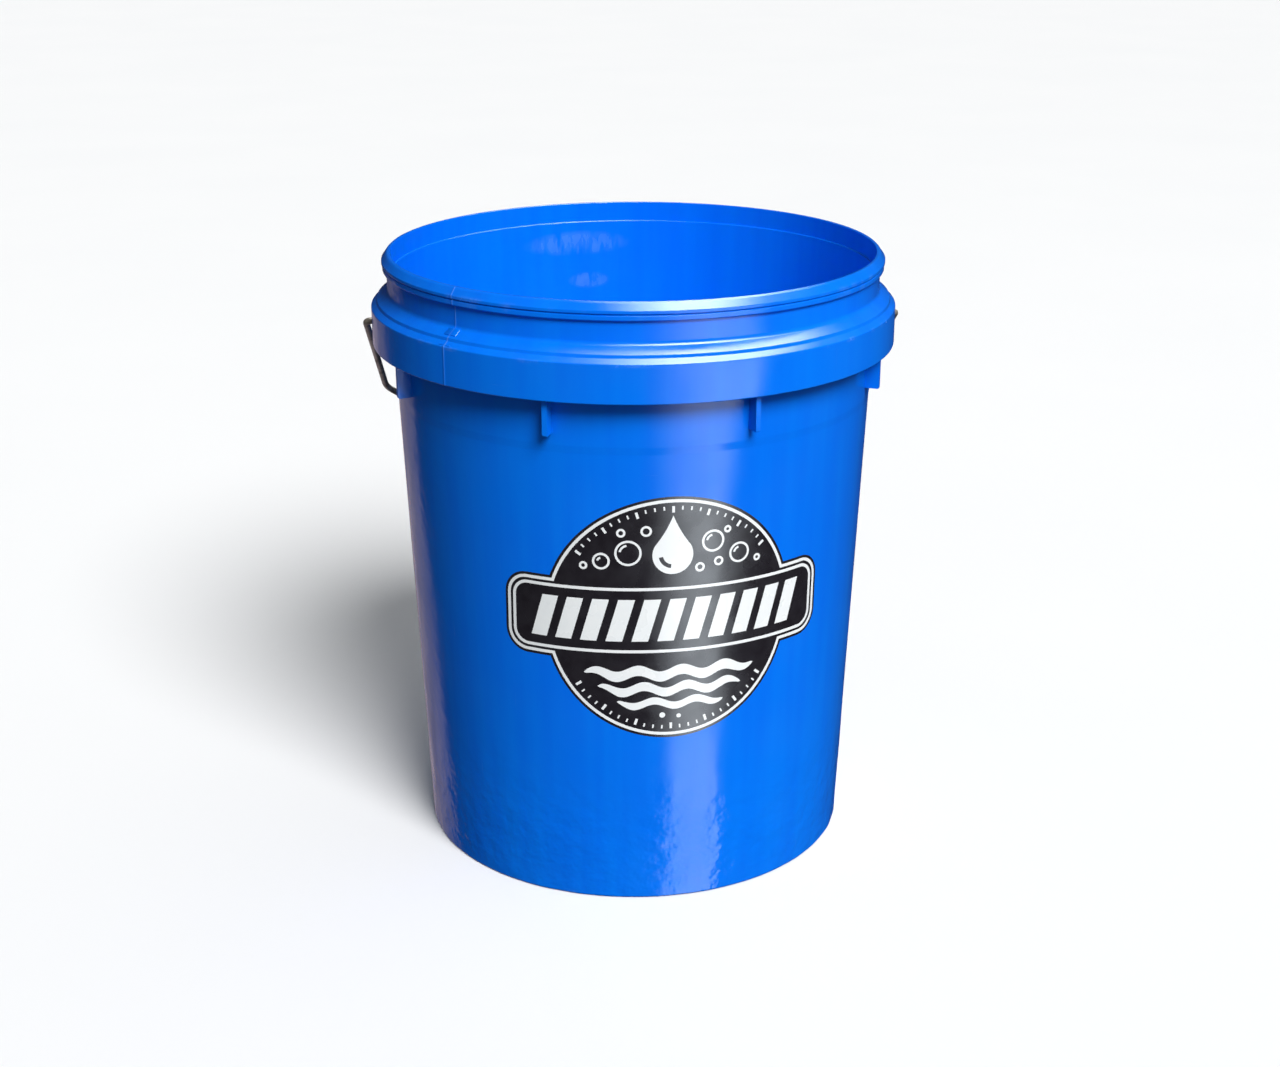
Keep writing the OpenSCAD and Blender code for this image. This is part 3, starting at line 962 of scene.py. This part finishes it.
def ink(name, outlines, low, high, material):
    """Printed ink: flat outlines (nested ones are holes) as a thin closed layer wrapped on the wall."""
    curve = bpy.data.curves.new(name, "CURVE")
    curve.dimensions = "2D"
    curve.fill_mode = "BOTH"
    curve.extrude = 1.0
    for outline in outlines:
        spline = curve.splines.new("POLY")
        spline.points.add(len(outline) - 1)
        for point, (x, y) in zip(spline.points, outline):
            point.co = (x, y, 0, 1)
        spline.use_cyclic_u = True
    flat = bpy.data.objects.new(name + "_flat", curve)
    bpy.context.scene.collection.objects.link(flat)
    bpy.context.view_layer.update()
    mesh = bpy.data.meshes.new_from_object(flat.evaluated_get(bpy.context.evaluated_depsgraph_get()))
    bpy.data.objects.remove(flat)
    bm = bmesh.new()
    bm.from_mesh(mesh)
    bpy.data.meshes.remove(mesh)
    bmesh.ops.remove_doubles(bm, verts=bm.verts, dist=TOUCHING)
    for axis, reach, step in ((0, BANNER_HALF_W, LABEL_STRIP), (1, LABEL_R, LABEL_ROW)):
        count = int(reach / step)
        for k in range(-count, count + 1):
            place, normal = Vector((0, 0, 0)), Vector((0, 0, 0))
            place[axis], normal[axis] = k * step, 1
            everything = bm.verts[:] + bm.edges[:] + bm.faces[:]
            bmesh.ops.bisect_plane(bm, geom=everything, dist=TINY, plane_co=place, plane_no=normal)
    bmesh.ops.remove_doubles(bm, verts=bm.verts, dist=SLIVER)
    sound_faces(bm, 3)
    bmesh.ops.recalc_face_normals(bm, faces=bm.faces)
    # the flat sheet's upper face becomes the ink's surface, and its lower one is buried in the wall
    for v in bm.verts:
        z = LABEL_Z + v.co.y
        proud = high if v.co.z > 0 else low
        v.co = wall_point(LABEL_AZIMUTH + v.co.x / taper_r(z), z, proud)
    obj = new_object(name, bm, material, "bucket", turn_out=False)
    obj.data.set_sharp_from_angle(angle=math.radians(40))
    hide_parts("label")


# The artwork in millimetres from the label's middle: bubbles and dots as (x, y, r), and waves as
# (y, half width, thickness, rise, how many, shift)
BUBBLES = ((-25, 41, 7.6), (-40, 36, 5.0), (-15, 54, 3.2), (-29, 53, 2.6), (23, 46, 6.6), (39, 37, 6.2),
           (15.5, 31, 2.8), (31.5, 52, 2.2), (-50, 33, 2.4), (50.5, 32, 2.2), (26.5, 33.5, 2.8))
WAVES = ((-33, 50, 6.4, 2.0, 4, 0.0), (-43, 42, 5.6, 2.0, 3.4, 1.1), (-52, 31, 4.6, 1.7, 2.6, 2.2))
DOTS = ((-5, -59.5, 1.7), (4.5, -60.5, 1.3))
BAR_COUNT = 11
BAR_PITCH = 14.6 * MM
BAR_HALF_W = 4.7 * MM
BAR_HALF_H = 12.8 * MM
BAR_LEAN = 3.6 * MM
RING_W = 1.3 * MM
TICKS_EACH_WAY = 12
TICK_ANGLE = 4.4
TICK_OUT_R = 68.4 * MM


def gleam(cx, cy, outer_r, inner_r, start, end, steps):
    """A curved streak between two radii, angles in degrees."""
    return arc(cx, cy, outer_r, start, end, steps) + arc(cx, cy, inner_r, end, start, steps)


def bars():
    """Slanted bars along the banner."""
    out = []
    for i in range(BAR_COUNT):
        x = (i - (BAR_COUNT - 1) / 2) * BAR_PITCH
        left, right = x - BAR_HALF_W, x + BAR_HALF_W
        out.append([(left - BAR_LEAN, -BAR_HALF_H), (right - BAR_LEAN, -BAR_HALF_H),
                    (right + BAR_LEAN, BAR_HALF_H), (left + BAR_LEAN, BAR_HALF_H)])
    return out


def bubbles():
    """Rings beside the drop, the large ones with a gleam."""
    out = []
    for place in BUBBLES:
        x, y, r = (v * MM for v in place)
        out += [disc(x, y, r), disc(x, y, r - RING_W)]
        if r > 4 * MM:
            out.append(gleam(x, y, r - 2.4 * MM, r - 3.6 * MM, 100, 170, ARC_STEPS))
    return out


def ticks():
    """Short marks round the roundel's edge above and below the banner, every fourth one stronger."""
    out = []
    for side in (90, 270):
        for k in range(-TICKS_EACH_WAY, TICKS_EACH_WAY + 1):
            a = math.radians(side + TICK_ANGLE * k)
            outward = Vector((math.cos(a), math.sin(a)))
            half_w = (0.45 if k % 4 else 0.75) * MM * Vector((-math.sin(a), math.cos(a)))
            near = (66.2 if k % 4 else 64.6) * MM * outward
            far = TICK_OUT_R * outward
            corners = (near - half_w, far - half_w, far + half_w, near + half_w)
            out.append([tuple(corner) for corner in corners])
    return out


def make_label():
    """A black badge with white rings, bars, bubbles, a drop and waves. It carries no lettering."""
    drop_y, drop_r = 39.5 * MM, 11.5 * MM
    white = [badge_outline(1.6 * MM), badge_outline(3.4 * MM)]
    white += [plate_outline(93.0 * MM, 20.0 * MM, 9.6 * MM), plate_outline(91.2 * MM, 18.2 * MM, 7.8 * MM)]
    white += bars()
    white.append(drop_outline(0, drop_y, drop_r, 23.5 * MM))
    white.append(gleam(0, drop_y, 8.0 * MM, 5.6 * MM, 190, 262, 14))
    white += bubbles()
    for cy, half_w, thick, rise, count, shift in WAVES:
        white.append(wave_outline(cy * MM, half_w * MM, thick * MM, rise * MM, count, shift))
    white += [disc(x * MM, y * MM, r * MM) for x, y, r in DOTS]
    white += ticks()
    ink("label_ink_black", [badge_outline(0)], -0.05 * MM, 0.12 * MM, INK_BLACK)
    ink("label_ink_white", white, 0.08 * MM, 0.2 * MM, INK_WHITE)


# ---------------------------------------------------------------- build

pail = make_pail()
cut_ear_holes(pail)
pail.data.set_sharp_from_angle(angle=math.radians(60))
weigh_normals(pail)
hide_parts("foot_ring", "floor", "side_wall", "rim", "collar_shoulder", "collar_band")

ribs = make_ribs()
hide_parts("collar_ribs")

ears = make_ears()
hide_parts("bail_ear_left", "bail_ear_right")

marks = make_marks()

make_label()

bail = make_bail()
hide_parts("bail_wire")

grip = make_grip()
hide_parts("bail_grip")

# ---------------------------------------------------------------- floor, light and camera

CARD_DISTANCE = 3.0
CARD_CELLS = 12
COOL_WHITE = rgba(0.85, 0.93, 1.0)
CEILING_WHITE = rgba(0.93, 0.97, 1.0)
CEILING_EDGES = (0.42, 0.4)
WORLD_RISE = 0.3
WORLD_SPAN = 0.8
WORLD_LOW = 0.22
WORLD_HIGH = 0.34
WORLD_LEFT = 0.5
WORLD_RIGHT = 1.15
WORLD_GLOSSY = 0.02
WORLD_SEEN = 1.0
FLOOR_R = 14.0
FLOOR_DROP = 0.2 * MM


def floor_material():
    """Dull, nearly even pale grey."""
    n = Nodes(bpy.data.materials.new("studio_floor"))
    colour = n.mix(n.noise(3.0, 3.0), rgba(0.84, 0.845, 0.85), rgba(0.87, 0.87, 0.87))
    n.feed(n.shader.inputs["Base Color"], colour)
    n.shader.inputs["Roughness"].default_value = 0.9
    n.shader.inputs["Specular IOR Level"].default_value = 0.1
    return n.owner


def make_floor():
    """The plain floor under the bucket."""
    bm = bmesh.new()
    bmesh.ops.create_circle(bm, cap_ends=True, segments=96, radius=FLOOR_R)
    mesh = bpy.data.meshes.new("studio_floor")
    bm.to_mesh(mesh)
    bm.free()
    mesh.materials.append(floor_material())
    floor = bpy.data.objects.new("studio_floor", mesh)
    floor.location.z = -FLOOR_DROP
    bpy.context.scene.collection.objects.link(floor)
    floor.visible_glossy = False
    floor.visible_diffuse = False


def glow_material(name, colour, strength, edge_low, edge_high, blotches=0.0):
    """Light card: bright in the middle, fading to its left and right edges by these shares of its width,
    with blotches that dim it by a share."""
    n = Nodes(bpy.data.materials.new(name))
    n.tree.nodes.remove(n.shader)
    glow = n.add("ShaderNodeEmission")
    glow.inputs["Color"].default_value = colour
    across = n.split(n.coordinates["UV"])[0]
    light = n.times(n.ramp(across, 0.0, edge_low), n.ramp(across, 1.0, 1.0 - edge_high))
    if blotches:
        cloud = n.add("ShaderNodeTexNoise", noise_dimensions="2D")
        n.feed(cloud.inputs["Vector"], n.coordinates["UV"])
        cloud.inputs["Scale"].default_value = 17.0
        cloud.inputs["Detail"].default_value = 5.0
        cloud.inputs["Roughness"].default_value = 0.6
        light = n.times(light, n.ramp(cloud.outputs["Fac"], 0.35, 0.65, 1.0 - blotches, 1.0, "LINEAR"))
    n.feed(glow.inputs["Strength"], n.times(light, strength))
    n.feed(n.tree.nodes["Material Output"].inputs["Surface"], glow.outputs[0])
    return n.owner


def card(name, low, high, colour, strength, edge_low, edge_high, blotches=0.0):
    """A card round the bucket seen only in reflections. low and high are its lower and upper edges as
    (elevation, first azimuth, last azimuth) in degrees."""
    bm = bmesh.new()
    share = bm.loops.layers.uv.new("share")
    rows = []
    for elevation, first, last in (low, high):
        up = math.tan(math.radians(elevation))
        turns = [math.radians(first + (last - first) * k / CARD_CELLS) for k in range(CARD_CELLS + 1)]
        rows.append([bm.verts.new(CARD_DISTANCE * polar(1, a, up)) for a in turns])
    for k in range(CARD_CELLS):
        face = bm.faces.new((rows[0][k], rows[0][k + 1], rows[1][k + 1], rows[1][k]))
        for loop, across, along in zip(face.loops, (k, k + 1, k + 1, k), (0, 0, 1, 1)):
            loop[share].uv = (across / CARD_CELLS, along)
    mesh = bpy.data.meshes.new(name)
    bm.to_mesh(mesh)
    bm.free()
    mesh.materials.append(glow_material(name, colour, strength, edge_low, edge_high, blotches))
    reflected_only(bpy.data.objects.new(name, mesh))


def ceiling(name, middle, width, depth, height, strength):
    """A level card over the bucket, seen only in reflections and fading to both sides."""
    mesh = bpy.data.meshes.new(name)
    w, d = width / 2, depth / 2
    mesh.from_pydata([(-w, -d, 0), (w, -d, 0), (w, d, 0), (-w, d, 0)], [], [(0, 1, 2, 3)])
    share = mesh.uv_layers.new(name="share")
    for loop, place in zip(share.data, ((0, 0), (1, 0), (1, 1), (0, 1))):
        loop.uv = place
    mesh.materials.append(glow_material(name, CEILING_WHITE, strength, *CEILING_EDGES))
    obj = bpy.data.objects.new(name, mesh)
    obj.location = (*middle, height)
    reflected_only(obj)


def reflected_only(obj):
    """Links a light card that shows in reflections and nowhere else."""
    bpy.context.scene.collection.objects.link(obj)
    obj.visible_camera = False
    obj.visible_diffuse = False
    obj.visible_shadow = False


def sun(name, azimuth, elevation, strength, spread):
    """Soft distant light that shapes the object and leaves the reflections to the cards."""
    data = bpy.data.lights.new(name, "SUN")
    data.energy = strength
    data.angle = math.radians(spread)
    lamp = bpy.data.objects.new(name, data)
    a, e = math.radians(azimuth), math.radians(elevation)
    towards = polar(math.cos(e), a, math.sin(e))
    lamp.rotation_euler = towards.to_track_quat("Z", "Y").to_euler()
    bpy.context.scene.collection.objects.link(lamp)
    lamp.visible_glossy = False


def studio_world():
    """Pale surroundings: dimmer from below and from the left, nearly dark in reflections, and as pale as
    the floor where they are seen."""
    n = Nodes(bpy.data.worlds.new("studio_world"))
    back = n.tree.nodes["Background"]
    back.inputs["Color"].default_value = rgba(0.95, 0.98, 1.0)
    x, _, z = n.split(n.coordinates["Generated"])
    light = n.times(n.ramp(z, -WORLD_RISE, WORLD_RISE, WORLD_LOW, WORLD_HIGH, "LINEAR"),
                    n.ramp(x, -WORLD_SPAN, WORLD_SPAN, WORLD_LEFT, WORLD_RIGHT, "LINEAR"))
    rays = n.add("ShaderNodeLightPath").outputs
    light = n.blend(rays["Is Glossy Ray"], light, WORLD_GLOSSY)
    n.feed(back.inputs["Strength"], n.blend(rays["Is Camera Ray"], light, WORLD_SEEN))
    bpy.context.scene.world = n.owner


make_floor()
sun("key_light", azimuth=22, elevation=42, strength=4.1, spread=28)
card("stripe_low", (-60, 13.5, 42), (-26, 13, 41.3), COOL_WHITE,
     strength=4.5, edge_low=0.1, edge_high=0.05)
card("stripe_middle", (-26.2, 9, 40.2), (-18, 2, 40.4), COOL_WHITE,
     strength=4.3, edge_low=0.65, edge_high=0.06)
card("stripe_high", (-18.2, 1, 42.6), (-2, -6, 57), COOL_WHITE,
     strength=4.4, edge_low=0.65, edge_high=0.06)
card("left_card", (-60, -185, -52), (-6, -185, -138), rgba(1.0, 0.82, 0.92),
     strength=0.62, edge_low=0.05, edge_high=0.05, blotches=0.75)
ceiling("ceiling_front", (0.72, -1.15), width=2.6, depth=1.7, height=2.3, strength=26.0)
ceiling("ceiling_back", (0.66, 0.6), width=2.6, depth=1.8, height=2.3, strength=21.0)
studio_world()

CAMERA_DISTANCE = 1.1517
CAMERA_HEIGHT = 0.5995
CAMERA_PITCH = 0.3469
CAMERA_YAW = 0.00335
CAMERA_ROLL = -0.00088
CAMERA_TURN = math.radians(-4.0)
LENS_MM = 55.03
SENSOR_MM = 36.0
FARTHEST = 100.0

level = math.cos(CAMERA_PITCH)
ahead = Vector((math.sin(CAMERA_YAW) * level, math.cos(CAMERA_YAW) * level, -math.sin(CAMERA_PITCH)))
side = Vector((math.cos(CAMERA_YAW), -math.sin(CAMERA_YAW), 0))
up = side.cross(ahead)
side, up = (side * math.cos(CAMERA_ROLL) + up * math.sin(CAMERA_ROLL),
            up * math.cos(CAMERA_ROLL) - side * math.sin(CAMERA_ROLL))
camera_data = bpy.data.cameras.new("camera")
camera_data.lens = LENS_MM
camera_data.sensor_width = SENSOR_MM
camera_data.sensor_fit = "HORIZONTAL"
camera_data.clip_end = FARTHEST
camera = bpy.data.objects.new("camera", camera_data)
turn = Matrix.Rotation(CAMERA_TURN, 4, "Z")
axes = Matrix((side, up, -ahead)).transposed().to_4x4()
camera.matrix_world = turn @ Matrix.Translation((0, -CAMERA_DISTANCE, CAMERA_HEIGHT)) @ axes
bpy.context.scene.collection.objects.link(camera)
bpy.context.scene.camera = camera
bpy.context.scene.view_settings.view_transform = "Standard"

bpy.context.view_layer.update()
